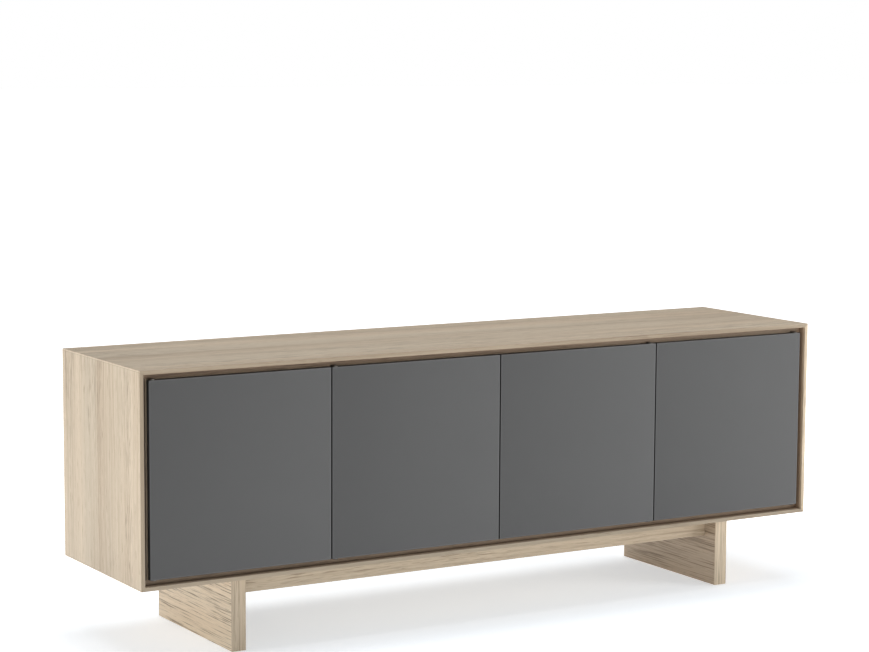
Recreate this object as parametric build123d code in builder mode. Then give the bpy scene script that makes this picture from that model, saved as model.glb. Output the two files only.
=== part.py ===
from build123d import *
import os

# Four-door television console: a mitred oak-veneered case with a dark reveal
# round four inset steel-faced doors, three bays with adjustable shelves, and a
# base of two plank legs joined by two rails.
# Frame: X along the width, -Y is the front, +Z up, origin on the floor at the
# middle of the footprint. All dimensions are in millimetres.

# ---- overall ---------------------------------------------------------------
WIDTH = 2000.0
DEPTH = 475.0
CASE_H = 528.0
LEG_H = 183.0            # floor to the underside of the case
XO = WIDTH / 2           # outer half width
YF = -DEPTH / 2          # front plane of the case
ZB = LEG_H               # underside of the case
ZT = LEG_H + CASE_H      # top of the case

# ---- case panels -----------------------------------------------------------
CASE_T = 30.0            # panel thickness
LIP_T = 10.1             # front lip left by the door rabbet
RABBET = 25.0            # depth of the door rabbet
REAR_T = 14.0            # rear lip left by the back-panel rabbet
BACK_Y = 452.0           # shoulder that the back panels sit on
TRIM_T = 1.5             # wall of the dark reveal trim
TRIM_IN = 6.0            # trim set back from the front plane

# ---- interior --------------------------------------------------------------
PART_T = 22.0
PART_F = 27.0            # partition front edge, behind the front plane
BACK_T = 6.0
SHELF_T = 18.0
SHELF_F, SHELF_B = 48.0, 400.0
SHELF_Z = 447.0          # underside of the shelves
PIN_R, PIN_IN, PIN_OUT = 2.5, 9.0, 8.0
PIN_Y = (85.0, 365.0)
PIN_PITCH, PIN_ROWS = 32.0, 5

# ---- doors -----------------------------------------------------------------
REVEAL = 24.6            # case outside to door edge
DOOR_GAP = 3.0
DOOR_F, SKIN_T, DOOR_B = 3.0, 1.5, 22.0
STILE = 40.0
PIVOT_A, PIVOT_Y = 12.5, 11.0    # from the hinge edge, and behind the front plane
PIVOT_R = 3.0
PLATE_T, PLATE_W, PLATE_L = 2.0, 12.0, 70.0
PLATE_D = 24.0           # pivot plate's face, below the case outside
PLATE_SCREW_X = 2.5      # screws set off the pivot line, clear of the partitions
DOOR_W = (WIDTH - 2 * REVEAL - 3 * DOOR_GAP) / 4
DOOR_ZB, DOOR_ZT = ZB + REVEAL, ZT - REVEAL

# ---- push latches ----------------------------------------------------------
LATCH_F, LATCH_B, LATCH_H = 28.0, 100.0, 14.0
PLUNGER_R, PLUNGER_TIP = 4.5, 23.5

# ---- base ------------------------------------------------------------------
LEG_T = 38.0
LEG_XO = 752.0           # outer face of each leg from the middle
LEG_F, LEG_B = 25.0, 455.0
LEG_LIFT = 2.0
RAIL_H, RAIL_T = 50.0, 22.0
RAIL_F = 73.0
FOOT_Y = (75.0, 405.0)
LEG_XI = LEG_XO - LEG_T


def yy(v):
    """Distance behind the front plane to the row's Y."""
    return YF + v


def door_x(i):
    left = -XO + REVEAL + i * (DOOR_W + DOOR_GAP)
    return left, left + DOOR_W


def plate_z(up):
    return (ZT - PLATE_D, ZT - PLATE_D + PLATE_T) if up else (ZB + PLATE_D - PLATE_T, ZB + PLATE_D)


def hinge(i):
    """Hinge edge and the direction from it into the door."""
    left, right = door_x(i)
    return (left, 1) if i < 2 else (right, -1)


SEAM = [door_x(0)[1] + DOOR_GAP / 2, door_x(2)[1] + DOOR_GAP / 2]  # partition centres
BOTTOM = (Align.CENTER, Align.CENTER, Align.MIN)
TOP = (Align.CENTER, Align.CENTER, Align.MAX)


def block(x0, x1, y0, y1, z0, z1, mode=Mode.ADD):
    with Locations(((x0 + x1) / 2, (y0 + y1) / 2, (z0 + z1) / 2)):
        Box(x1 - x0, y1 - y0, z1 - z0, mode=mode)


def facing(x, y, z, d):
    return Plane(origin=(x, y, z), z_dir=d)


def countersunk(planes, r, head_r, head_h, length, mode=Mode.ADD, ease=0.0):
    """Countersunk screws, heads flush with the planes and shanks behind them."""
    with Locations(*planes):
        Cylinder(r + ease, length + ease, align=TOP, mode=mode)
        Cone(r + ease, head_r + ease, head_h, align=TOP, mode=mode)


def save(builder, name):
    builder.part.label = name
    export_step(builder.part, f"parts/{name}.step")


def outline(side, t):
    """Mitred cross-section of one case side, t thick, in X and Z."""
    c = {"top": [(-XO, ZT), (XO, ZT), (XO - t, ZT - t), (-XO + t, ZT - t)],
         "bottom": [(-XO, ZB), (-XO + t, ZB + t), (XO - t, ZB + t), (XO, ZB)],
         "left": [(-XO, ZB), (-XO, ZT), (-XO + t, ZT - t), (-XO + t, ZB + t)],
         "right": [(XO, ZB), (XO - t, ZB + t), (XO - t, ZT - t), (XO, ZT)]}
    return c[side]


def slab(side, t, y0, y1, mode=Mode.ADD):
    """Mitred slab of one case side between two depths."""
    with BuildSketch(Plane.XZ.offset(-yy(y1))) as profile:
        with BuildLine():
            Polyline(*outline(side, t), close=True)
        make_face()
    extrude(profile.sketch, amount=y1 - y0, mode=mode)


# ---- shared positions ------------------------------------------------------
def pivot_xy(i):
    edge, s = hinge(i)
    return edge + s * PIVOT_A, yy(PIVOT_Y)


plate_screws = {"top": [], "bottom": []}
for i in range(4):
    px = pivot_xy(i)[0] + hinge(i)[1] * PLATE_SCREW_X
    for yv in (38.0, 60.0):
        plate_screws["top"].append(facing(px, yy(yv), ZT - CASE_T, (0, 0, -1)))
        plate_screws["bottom"].append(facing(px, yy(yv), ZB + CASE_T, (0, 0, 1)))

catch_x = []
for i in range(4):
    left, right = door_x(i)
    catch_x.append(right - 45 if i < 2 else left + 45)
latch_z = ZT - CASE_T - LATCH_H / 2
latch_screws_at = [facing(x + dx, yy(64.0), ZT - CASE_T - 3, (0, 0, -1))
                   for x in catch_x for dx in (-14, 14)]

dowel_y = (90.0, 240.0, 390.0)
partition_dowel_top = [(x, yy(v), ZT - CASE_T) for x in SEAM for v in dowel_y]
partition_dowel_bottom = [(x, yy(v), ZB + CASE_T) for x in SEAM for v in dowel_y]

pin_z = [SHELF_Z - 0.3 - PIN_R + PIN_PITCH * k for k in range(-2, 3)]
side_pins = [(v, z) for v in PIN_Y for z in pin_z]

base_screw_x = (-600.0, 0.0, 600.0)
rail_mid = {"front": RAIL_F + RAIL_T / 2, "rear": LEG_F + LEG_B - RAIL_F - RAIL_T / 2}
base_screws_at = [(x, yy(rail_mid[k])) for k in rail_mid for x in base_screw_x]

bracket_y = (140.0, 340.0)
bracket_up, bracket_side = [], {-1: [], 1: []}
for s in (-1, 1):
    for v in bracket_y:
        for d in (-8, 8):
            bracket_up.append(facing(s * (LEG_XI - 26), yy(v + d), ZB - 3, (0, 0, -1)))
            bracket_side[s].append(facing(s * (LEG_XI - 3), yy(v + d), ZB - 26, (-s, 0, 0)))

back_screws = []
seam_off = 5.5
back_edges = [(-XO + REAR_T, SEAM[0] - 0.5), (SEAM[0] + 0.5, SEAM[1] - 0.5),
              (SEAM[1] + 0.5, XO - REAR_T)]
for x0, x1 in back_edges:
    n = 5 if x1 - x0 > 700 else 3
    xs = [x0 + 5.0 + (x1 - x0 - 10.0) * k / (n - 1) for k in range(n)]
    for x in xs:
        x = min(max(x, 32.0 - XO), XO - 32.0)
        for z in (ZB + 19.0, ZT - 19.0):
            back_screws.append(facing(x, yy(BACK_Y + BACK_T), z, (0, 1, 0)))
    for x in (xs[0], xs[-1]):
        back_screws.append(facing(x, yy(BACK_Y + BACK_T), (ZB + ZT) / 2, (0, 1, 0)))
BS_R, BS_HR, BS_HH, BS_L = 1.5, 3.0, 1.6, 20.0

spline_at = {("top", "left"): (-XO + 14.0, ZT - 14.0, 45), ("top", "right"): (XO - 14.0, ZT - 14.0, -45),
             ("bottom", "left"): (-XO + 14.0, ZB + 14.0, -45), ("bottom", "right"): (XO - 14.0, ZB + 14.0, 45)}


def spline(corner, mode=Mode.ADD, ease=0.0):
    """Loose tongue across a mitre: 16 wide, 4 thick."""
    x, z, turn = spline_at[corner]
    with Locations(Location((x, yy(240.0), z), (0, -turn, 0))):
        Box(16 + 2 * ease, 400 + 2 * ease, 4 + 2 * ease, mode=mode)


os.makedirs("parts", exist_ok=True)

# ---- case ------------------------------------------------------------------
for side, corners in (("top", (("top", "left"), ("top", "right"))),
                      ("bottom", (("bottom", "left"), ("bottom", "right")))):
    up = side == "top"
    face = ZT - CASE_T if up else ZB + CASE_T
    inward = (0, 0, -1) if up else (0, 0, 1)
    with BuildPart() as panel:
        slab(side, LIP_T, 0, RABBET)
        slab(side, CASE_T, RABBET, BACK_Y)
        slab(side, REAR_T, BACK_Y, DEPTH)
        for c in corners:
            spline(c, mode=Mode.SUBTRACT, ease=0.05)
        # slots in the shoulder that the pivot plates slide into
        for i in range(4):
            px, py = pivot_xy(i)
            z0, z1 = plate_z(up)
            block(px - PLATE_W / 2 - 0.1, px + PLATE_W / 2 + 0.1, yy(RABBET - 1), yy(PLATE_L + 0.1),
                  z0 - 0.05, z1 + 0.05, mode=Mode.SUBTRACT)
        countersunk(plate_screws[side], 1.75, 3.4, 1.9, 18.0, mode=Mode.SUBTRACT, ease=0.05)
        dowels = partition_dowel_top if up else partition_dowel_bottom
        with Locations(*[facing(x, y, z, inward) for x, y, z in dowels]):
            Hole(4.05, 13.0)
        with Locations(*[p for p in back_screws if abs(p.origin.Z - (ZT - 19.0 if up else ZB + 19.0)) < 0.01]):
            Cylinder(BS_R + 0.05, BS_L + 0.5, align=TOP, mode=Mode.SUBTRACT)
        if up:
            with Locations(*[facing(p.origin.X, p.origin.Y, ZT - CASE_T, (0, 0, -1)) for p in latch_screws_at]):
                Hole(1.55, 12.5)
        else:
            with Locations(*[facing(x, y, ZB, (0, 0, -1)) for x, y in base_screws_at]):
                Hole(2.55, 15.5)
            with Locations(*[facing(p.origin.X, p.origin.Y, ZB, (0, 0, -1)) for p in bracket_up]):
                Hole(1.8, 15.5)
    save(panel, f"{side}_panel")

for side, s in (("left", -1), ("right", 1)):
    with BuildPart() as panel:
        slab(side, LIP_T, 0, RABBET)
        slab(side, CASE_T, RABBET, BACK_Y)
        slab(side, REAR_T, BACK_Y, DEPTH)
        for v in ("top", "bottom"):
            spline((v, side), mode=Mode.SUBTRACT, ease=0.05)
        with Locations(*[facing(s * (XO - CASE_T), yy(v), z, (-s, 0, 0)) for v, z in side_pins]):
            Hole(PIN_R + 0.05, PIN_IN + 0.5)
        with Locations(*[p for p in back_screws
                         if abs(p.origin.Z - (ZB + ZT) / 2) < 0.01 and s * p.origin.X > XO - CASE_T]):
            Cylinder(BS_R + 0.05, BS_L + 0.5, align=TOP, mode=Mode.SUBTRACT)
    save(panel, f"{side}_side_panel")

with BuildPart() as mitre_splines:
    for c in spline_at:
        spline(c)
save(mitre_splines, "mitre_splines")

for name, x in (("left_partition", SEAM[0]), ("right_partition", SEAM[1])):
    with BuildPart() as partition:
        block(x - PART_T / 2, x + PART_T / 2, yy(PART_F), yy(BACK_Y), ZB + CASE_T, ZT - CASE_T)
        for s in (-1, 1):
            with Locations(*[facing(x + s * PART_T / 2, yy(v), z, (s, 0, 0)) for v, z in side_pins]):
                Hole(PIN_R + 0.05, PIN_IN + 0.5)
        with Locations(*[facing(x, yy(v), ZT - CASE_T, (0, 0, 1)) for v in dowel_y]):
            Hole(4.05, 18.5)
        with Locations(*[facing(x, yy(v), ZB + CASE_T, (0, 0, -1)) for v in dowel_y]):
            Hole(4.05, 18.5)
        # cable hole near the back
        with Locations(facing(x + PART_T / 2, yy(425.0 - 16.0), ZB + CASE_T + 60.0, (1, 0, 0))):
            Hole(30.0, PART_T)
        with Locations(*[p for p in back_screws
                         if abs(p.origin.Z - (ZB + ZT) / 2) < 0.01 and abs(p.origin.X - x) < PART_T / 2]):
            Cylinder(BS_R + 0.05, BS_L + 0.5, align=TOP, mode=Mode.SUBTRACT)
    save(partition, name)

with BuildPart() as partition_dowels:
    with Locations(*[(x, y, z - 18.0) for x, y, z in partition_dowel_top]):
        Cylinder(4.0, 30.0, align=BOTTOM)
    with Locations(*[(x, y, z - 12.0) for x, y, z in partition_dowel_bottom]):
        Cylinder(4.0, 30.0, align=BOTTOM)
save(partition_dowels, "partition_dowels")

with BuildPart() as partition_grommets:
    for x in SEAM:
        at = (yy(425.0 - 16.0), ZB + CASE_T + 60.0)
        with Locations(facing(x + PART_T / 2, *at, (1, 0, 0))):
            Cylinder(29.9, PART_T, align=TOP)
            Cylinder(33.5, 1.6, align=BOTTOM)
        with Locations(facing(x - PART_T / 2, *at, (-1, 0, 0))):
            Cylinder(33.5, 1.6, align=BOTTOM)
        with Locations(facing(x + PART_T / 2 + 5, *at, (1, 0, 0))):
            Hole(27.5, PART_T + 10)
save(partition_grommets, "partition_grommets")

# ---- reveal trim: an angle lining the door rabbet ---------------------------
for side in ("top", "bottom", "left", "right"):
    with BuildPart() as trim:
        slab(side, LIP_T + TRIM_T, TRIM_IN, RABBET)
        slab(side, PLATE_D, RABBET - TRIM_T, RABBET)
        slab(side, LIP_T, TRIM_IN - 0.5, RABBET + 0.5, mode=Mode.SUBTRACT)
        if side in ("top", "bottom"):
            z0, z1 = plate_z(side == "top")
            for i in range(4):
                px, py = pivot_xy(i)
                block(px - PLATE_W / 2 - 0.2, px + PLATE_W / 2 + 0.2, yy(20), yy(30),
                      z0 - 0.3, z1 + 0.2, mode=Mode.SUBTRACT)
    save(trim, f"reveal_trim_{side}")

# ---- back panels with cable ports and vent slots ----------------------------
PORT_W, PORT_H, PORT_Z = 120.0, 60.0, ZB + CASE_T + 75.0
VENT_Z = ZT - CASE_T - 62.0
back_names = ("left_back_panel", "centre_back_panel", "right_back_panel")
ports = []
for name, (x0, x1) in zip(back_names, back_edges):
    xm = (x0 + x1) / 2
    wide = x1 - x0 > 700
    here = [xm - 250.0, xm + 250.0] if wide else [xm]
    ports += here
    with BuildPart() as back:
        with BuildSketch(Plane.XZ.offset(-yy(BACK_Y + BACK_T))):
            with Locations((xm, (ZB + ZT) / 2)):
                Rectangle(x1 - x0, CASE_H - 2 * REAR_T - 1.0)
            with Locations(*[(x, PORT_Z) for x in here]):
                RectangleRounded(PORT_W, PORT_H, 14.0, mode=Mode.SUBTRACT)
            with Locations((xm, VENT_Z)):
                with GridLocations(100.0, 13.0, 8 if wide else 4, 4):
                    SlotOverall(82.0, 5.0, mode=Mode.SUBTRACT)
        extrude(amount=BACK_T)
        mine = [p for p in back_screws if x0 < p.origin.X < x1]
        countersunk(mine, BS_R, BS_HR, BS_HH, BS_L, mode=Mode.SUBTRACT, ease=0.05)
    save(back, name)

with BuildPart() as back_panel_screws:
    countersunk(back_screws, BS_R, BS_HR, BS_HH, BS_L)
save(back_panel_screws, "back_panel_screws")

with BuildPart() as port_grommets:
    with BuildSketch(Plane.XZ.offset(-yy(BACK_Y + BACK_T + 1.5))):
        with Locations(*[(x, PORT_Z) for x in ports]):
            RectangleRounded(PORT_W + 8, PORT_H + 8, 18.0)
            RectangleRounded(PORT_W - 6, PORT_H - 6, 11.0, mode=Mode.SUBTRACT)
    extrude(amount=1.5)
    with BuildSketch(Plane.XZ.offset(-yy(BACK_Y + BACK_T))):
        with Locations(*[(x, PORT_Z) for x in ports]):
            RectangleRounded(PORT_W - 0.2, PORT_H - 0.2, 13.9)
            RectangleRounded(PORT_W - 6, PORT_H - 6, 11.0, mode=Mode.SUBTRACT)
    extrude(amount=BACK_T + 1.0)
save(port_grommets, "cable_port_grommets")

# ---- shelves and their pins -------------------------------------------------
bays = {"left": (-XO + CASE_T, SEAM[0] - PART_T / 2), "centre": (SEAM[0] + PART_T / 2, SEAM[1] - PART_T / 2),
        "right": (SEAM[1] + PART_T / 2, XO - CASE_T)}
for name, (x0, x1) in bays.items():
    with BuildPart() as shelf:
        block(x0 + 1.5, x1 - 1.5, yy(SHELF_F), yy(SHELF_B), SHELF_Z, SHELF_Z + SHELF_T)
        fillet(shelf.edges().filter_by(Axis.X).group_by(Axis.Y)[0], 1.0)
    save(shelf, f"{name}_shelf")

with BuildPart() as shelf_pins:
    for x0, x1 in bays.values():
        for x, s in ((x0, 1), (x1, -1)):
            with Locations(*[facing(x, yy(v), SHELF_Z - 0.3 - PIN_R, (s, 0, 0)) for v in PIN_Y]):
                Cylinder(PIN_R, PIN_IN, align=TOP)
                Cylinder(PIN_R, PIN_OUT, align=BOTTOM)
                Cylinder(PIN_R + 1.2, 1.0, align=BOTTOM)
            with Locations(*[(x + s * 0.5, yy(v), SHELF_Z + 4.7) for v in PIN_Y]):
                Box(1.4, 12, 10, mode=Mode.SUBTRACT)
save(shelf_pins, "shelf_pins")

# ---- door pivots on the case ------------------------------------------------
with BuildPart() as pivot_plates:
    for z0 in (plate_z(True)[0], plate_z(False)[0]):
        with BuildSketch(Plane.XY.offset(z0)):
            for i in range(4):
                px, py = pivot_xy(i)
                with Locations((px, py)):
                    Circle(PLATE_W / 2)
                with Locations((px, (py + yy(PLATE_L)) / 2)):
                    Rectangle(PLATE_W, yy(PLATE_L) - py)
            with Locations(*[pivot_xy(i) for i in range(4)]):
                Circle(PIVOT_R + 0.06, mode=Mode.SUBTRACT)
        extrude(amount=PLATE_T)
    for side in ("top", "bottom"):
        countersunk(plate_screws[side], 1.75, 3.4, 1.9, 18.0, mode=Mode.SUBTRACT, ease=0.05)
save(pivot_plates, "pivot_plates")

with BuildPart() as pivot_plate_screws:
    for side in ("top", "bottom"):
        countersunk(plate_screws[side], 1.75, 3.4, 1.9, 18.0)
save(pivot_plate_screws, "pivot_plate_screws")

with BuildPart() as pivot_washers:
    for i in range(4):
        px, py = pivot_xy(i)
        for z0 in (ZT - PLATE_D - 0.5, ZB + PLATE_D):
            with Locations((px, py, z0)):
                Cylinder(6.0, 0.5, align=BOTTOM)
                Cylinder(PIVOT_R + 0.2, 0.5, align=BOTTOM, mode=Mode.SUBTRACT)
save(pivot_washers, "pivot_washers")

# ---- push latches: a press on the closed door lets the plunger push it out ---
with BuildPart() as latches:
    for x in catch_x:
        block(x - 8, x + 8, yy(LATCH_F), yy(LATCH_B), ZT - CASE_T - LATCH_H, ZT - CASE_T)
    fillet(latches.edges().filter_by(Axis.Y).group_by(Axis.Z)[0], 3.0)
    fillet(latches.edges().group_by(Axis.Y)[-1], 2.0)
    for x in catch_x:
        block(x - 20, x + 20, yy(54.0), yy(74.0), ZT - CASE_T - 3, ZT - CASE_T)
    with Locations(*[facing(x, yy(LATCH_F), latch_z, (0, -1, 0)) for x in catch_x]):
        Hole(PLUNGER_R + 0.05, 64.0)
    with Locations(*latch_screws_at):
        Cylinder(1.55, 3.0, align=TOP, mode=Mode.SUBTRACT)
save(latches, "push_latch_bodies")

with BuildPart() as latch_screws:
    with Locations(*latch_screws_at):
        Cylinder(1.5, 15.0, align=TOP)
        Cylinder(3.0, 1.9, align=BOTTOM)
    fillet(latch_screws.edges().group_by(Axis.Z)[0], 0.8)
save(latch_screws, "push_latch_screws")

for i, x in enumerate(catch_x):
    with BuildPart() as plunger:
        with Locations(facing(x, yy(PLUNGER_TIP + 3), latch_z, (0, -1, 0))):
            Cylinder(6.0, 3.0, align=BOTTOM)
            Cylinder(PLUNGER_R, 60.0, align=TOP)
        fillet(plunger.edges().filter_by(GeomType.CIRCLE).group_by(Axis.Y)[0], 0.8)
    save(plunger, f"door_{i + 1}_latch_plunger")

# ---- doors ------------------------------------------------------------------
for i in range(4):
    left, right = door_x(i)
    edge, s = hinge(i)
    px, py = pivot_xy(i)
    n = i + 1
    with BuildPart() as skin:
        block(left, right, yy(DOOR_F), yy(DOOR_F + SKIN_T), DOOR_ZB, DOOR_ZT)
        fillet(skin.edges().group_by(Axis.Y)[0], 0.6)
    save(skin, f"door_{n}_perforated_panel")

    with BuildPart() as frame:
        # hinge stile, back corner chamfered so that it clears the partition
        with BuildSketch(Plane.XY.offset(DOOR_ZB)):
            with BuildLine():
                Polyline((edge, yy(DOOR_F + SKIN_T)), (edge + s * STILE, yy(DOOR_F + SKIN_T)),
                         (edge + s * STILE, yy(DOOR_B)), (edge + s * 6, yy(DOOR_B)),
                         (edge, yy(DOOR_B - 6)), close=True)
            make_face()
        extrude(amount=DOOR_ZT - DOOR_ZB)
        with Locations(facing(px, py, DOOR_ZT, (0, 0, 1)), facing(px, py, DOOR_ZB, (0, 0, -1))):
            Hole(PIVOT_R, 22.0)
    hinge_stile = frame.part
    free = right if s == 1 else left
    with BuildPart() as latch_side:
        block(min(free, free - s * STILE), max(free, free - s * STILE), yy(DOOR_F + SKIN_T), yy(DOOR_B),
              DOOR_ZB, DOOR_ZT)
    with BuildPart() as rails:
        block(left + STILE, right - STILE, yy(DOOR_F + SKIN_T), yy(DOOR_B), DOOR_ZT - STILE, DOOR_ZT)
        block(left + STILE, right - STILE, yy(DOOR_F + SKIN_T), yy(DOOR_B), DOOR_ZB, DOOR_ZB + STILE)
    members = hinge_stile.solids() + latch_side.part.solids() + rails.part.solids()
    whole = Compound(children=list(members), label=f"door_{n}_frame")
    export_step(whole, f"parts/door_{n}_frame.step")

    with BuildPart() as pins:
        with Locations((px, py, DOOR_ZT - 20.0)):
            Cylinder(PIVOT_R, 20.0 + REVEAL - PLATE_D + PLATE_T - 0.5, align=BOTTOM)
        with Locations((px, py, DOOR_ZB + 20.0)):
            Cylinder(PIVOT_R, 20.0 + REVEAL - PLATE_D + PLATE_T - 0.5, align=TOP)
    save(pins, f"door_{n}_pivot_pins")

    with BuildPart() as strike:
        block(catch_x[i] - 18, catch_x[i] + 18, yy(DOOR_B), yy(DOOR_B + 1.2), latch_z - 5.5, latch_z + 5.5)
        fillet(strike.edges().filter_by(Axis.Y), 3.0)
    save(strike, f"door_{n}_strike_plate")

# ---- base -------------------------------------------------------------------
rail_ys = {"front": (RAIL_F, RAIL_F + RAIL_T), "rear": (LEG_F + LEG_B - RAIL_F - RAIL_T, LEG_F + LEG_B - RAIL_F)}
rail_dowel_at = [(yy(rail_mid[k]), ZB - RAIL_H / 2 + dz) for k in rail_mid for dz in (-12, 12)]
for name, s in (("left_leg", -1), ("right_leg", 1)):
    xm = s * (LEG_XO - LEG_T / 2)
    with BuildPart() as leg:
        block(xm - LEG_T / 2, xm + LEG_T / 2, yy(LEG_F), yy(LEG_B), LEG_LIFT, ZB)
        with Locations(*[facing(s * LEG_XI, y, z, (-s, 0, 0)) for y, z in rail_dowel_at]):
            Hole(5.05, 20.5)
        with Locations(*[facing(p.origin.X + s * 3, p.origin.Y, p.origin.Z, (-s, 0, 0)) for p in bracket_side[s]]):
            Hole(1.8, 15.5)
        for v in FOOT_Y:
            with Locations(facing(xm, yy(v), LEG_LIFT, (0, 0, -1))):
                Hole(15.0, 6.5)
                Hole(6.5, 31.5)
                Hole(4.3, 48.0)
    save(leg, name)

for k, (v0, v1) in rail_ys.items():
    with BuildPart() as rail:
        block(-LEG_XI, LEG_XI, yy(v0), yy(v1), ZB - RAIL_H, ZB)
        for s in (-1, 1):
            with Locations(*[facing(s * LEG_XI, yy((v0 + v1) / 2), ZB - RAIL_H / 2 + dz, (s, 0, 0)) for dz in (-12, 12)]):
                Hole(5.05, 20.5)
        with Locations(*[facing(x, yy((v0 + v1) / 2), ZB - RAIL_H, (0, 0, -1)) for x in base_screw_x]):
            CounterBoreHole(radius=2.6, counter_bore_radius=6.0, counter_bore_depth=25.0, depth=RAIL_H)
    save(rail, f"{k}_rail")

with BuildPart() as rail_dowels:
    for s in (-1, 1):
        with Locations(*[facing(s * (LEG_XI - 20), y, z, (s, 0, 0)) for y, z in rail_dowel_at]):
            Cylinder(5.0, 40.0, align=BOTTOM)
save(rail_dowels, "rail_dowels")

with BuildPart() as base_screws:
    with Locations(*[facing(x, y, ZB - RAIL_H + 25.0, (0, 0, -1)) for x, y in base_screws_at]):
        Cylinder(5.2, 3.2, align=BOTTOM)
        Cylinder(2.5, 40.0, align=TOP)
    with Locations(*[facing(x, y, ZB - RAIL_H + 21.8, (0, 0, -1)) for x, y in base_screws_at]):
        Cylinder(1.8, 1.6, align=TOP, mode=Mode.SUBTRACT)
save(base_screws, "base_screws")

with BuildPart() as leg_brackets:
    for s in (-1, 1):
        for v in bracket_y:
            a, b = sorted((s * LEG_XI, s * (LEG_XI - 3)))
            block(a, b, yy(v - 16), yy(v + 16), ZB - 40, ZB)
            a, b = sorted((s * LEG_XI, s * (LEG_XI - 40)))
            block(a, b, yy(v - 16), yy(v + 16), ZB - 3, ZB)
    countersunk(bracket_up + bracket_side[-1] + bracket_side[1], 1.75, 3.4, 1.9, 18.0, mode=Mode.SUBTRACT, ease=0.05)
save(leg_brackets, "leg_brackets")

with BuildPart() as bracket_screws:
    countersunk(bracket_up + bracket_side[-1] + bracket_side[1], 1.75, 3.4, 1.9, 18.0)
save(bracket_screws, "leg_bracket_screws")

feet = {"front_left": (-1, FOOT_Y[0]), "front_right": (1, FOOT_Y[0]),
        "rear_left": (-1, FOOT_Y[1]), "rear_right": (1, FOOT_Y[1])}
with BuildPart() as inserts:
    for s, v in feet.values():
        with Locations((s * (LEG_XO - LEG_T / 2), yy(v), LEG_LIFT + 6.5)):
            Cylinder(6.45, 25.0, align=BOTTOM)
            Cylinder(4.06, 25.0, align=BOTTOM, mode=Mode.SUBTRACT)
save(inserts, "leveller_inserts")

for name, (s, v) in feet.items():
    with BuildPart() as foot:
        with Locations((s * (LEG_XO - LEG_T / 2), yy(v), 0)):
            Cylinder(14.0, 6.0, align=BOTTOM)
            Cylinder(4.0, 42.0, align=BOTTOM)
        fillet(foot.edges().filter_by(GeomType.CIRCLE).group_by(Axis.Z)[0], 1.0)
    save(foot, f"levelling_foot_{name}")
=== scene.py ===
import bpy, bmesh, math
from mathutils import Vector, Matrix


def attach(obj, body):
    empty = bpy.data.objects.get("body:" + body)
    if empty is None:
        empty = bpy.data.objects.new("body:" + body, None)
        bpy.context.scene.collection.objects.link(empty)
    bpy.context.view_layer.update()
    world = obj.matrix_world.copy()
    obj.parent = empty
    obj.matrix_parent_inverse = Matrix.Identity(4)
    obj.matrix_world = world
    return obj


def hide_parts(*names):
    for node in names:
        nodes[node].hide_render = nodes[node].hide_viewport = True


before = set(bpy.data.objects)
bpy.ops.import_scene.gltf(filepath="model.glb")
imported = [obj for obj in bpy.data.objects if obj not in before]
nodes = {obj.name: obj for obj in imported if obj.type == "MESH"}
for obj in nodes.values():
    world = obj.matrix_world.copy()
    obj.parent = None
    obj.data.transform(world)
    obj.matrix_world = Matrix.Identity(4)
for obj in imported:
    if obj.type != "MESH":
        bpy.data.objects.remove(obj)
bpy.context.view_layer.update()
scene = bpy.context.scene

# ------------------------------------------------------------------ sizes, mm
WIDTH, DEPTH, CASE_H, LEG_H = 2000.0, 475.0, 528.0, 183.0
XO, YF, ZB, ZT = WIDTH / 2, -DEPTH / 2, LEG_H, LEG_H + CASE_H
CASE_T, LIP_T, RABBET, REAR_T, BACK_Y = 30.0, 10.1, 25.0, 14.0, 452.0
PART_T, PART_F, BACK_T = 22.0, 27.0, 6.0
SHELF_T, SHELF_F, SHELF_B, SHELF_Z = 18.0, 48.0, 400.0, 447.0
PIN_R, PIN_IN, PIN_PITCH, PIN_Y = 2.5, 9.0, 32.0, (85.0, 365.0)
REVEAL, DOOR_GAP, DOOR_F, SKIN_T, DOOR_B, STILE = 24.6, 3.0, 3.0, 1.5, 22.0, 40.0
PIVOT_A, PIVOT_Y, PLATE_T, PLATE_W, PLATE_L, PLATE_D, PLATE_SCREW_X = 12.5, 11.0, 2.0, 12.0, 70.0, 24.0, 2.5
DOOR_W = (WIDTH - 2 * REVEAL - 3 * DOOR_GAP) / 4
DOOR_ZB, DOOR_ZT = ZB + REVEAL, ZT - REVEAL
LEG_T, LEG_XO, LEG_F, LEG_B, LEG_LIFT = 38.0, 752.0, 25.0, 455.0, 2.0
LEG_XI = LEG_XO - LEG_T
RAIL_H, RAIL_T, RAIL_F = 50.0, 22.0, 73.0
FOOT_Y = (75.0, 405.0)
LIPPING = 3.0


def yy(v):
    return YF + v


def door_x(i):
    left = -XO + REVEAL + i * (DOOR_W + DOOR_GAP)
    return left, left + DOOR_W


def hinge(i):
    left, right = door_x(i)
    return (left, 1) if i < 2 else (right, -1)


def pivot_xy(i):
    edge, s = hinge(i)
    return edge + s * PIVOT_A, yy(PIVOT_Y)


SEAM = [door_x(0)[1] + DOOR_GAP / 2, door_x(2)[1] + DOOR_GAP / 2]
pin_z = [SHELF_Z - 0.3 - PIN_R + PIN_PITCH * k for k in range(-2, 3)]
side_pins = [(v, z) for v in PIN_Y for z in pin_z]


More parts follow.
